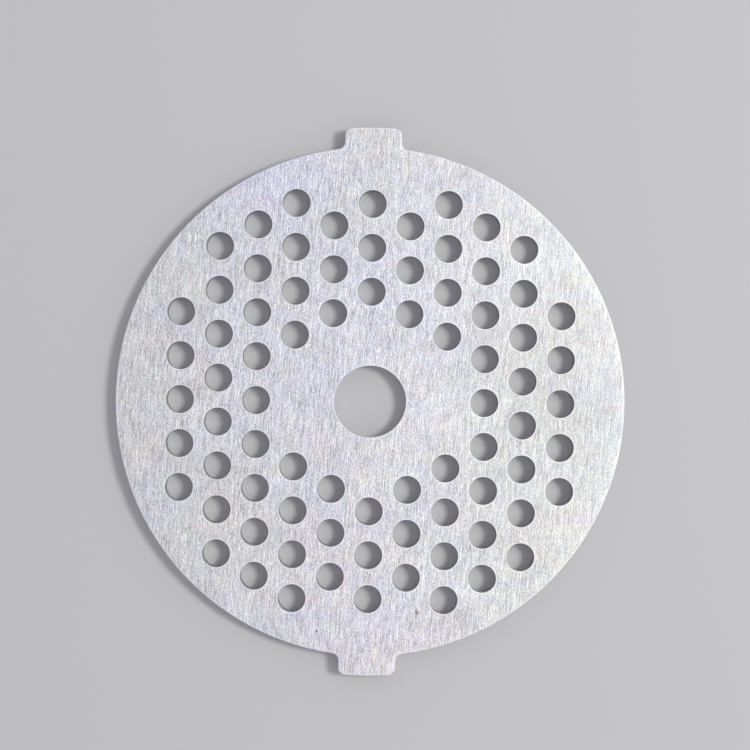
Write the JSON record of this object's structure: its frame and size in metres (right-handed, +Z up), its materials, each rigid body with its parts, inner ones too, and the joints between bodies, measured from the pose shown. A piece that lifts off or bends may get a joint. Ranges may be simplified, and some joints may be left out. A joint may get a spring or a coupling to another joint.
{
  "type": "meat grinder plate",
  "caption": "Flat stainless steel disc for a meat grinder, with a centre bore, a staggered ring of small round mincing holes and opposite locating lugs on its rim.",
  "frame": {"origin": "centre of the bore, in the plane of the underside that the plate lies on", "axes": "+Z up through the thickness and along the bore, +Y along the line of the lugs, +X across them"},
  "size_m": [0.058, 0.0624, 0.002],
  "materials": {
    "brushed_stainless": "brushed"
  },
  "bodies": {
    "root": {"grinder_plate": "brushed_stainless"}
  },
  "joints": []
}
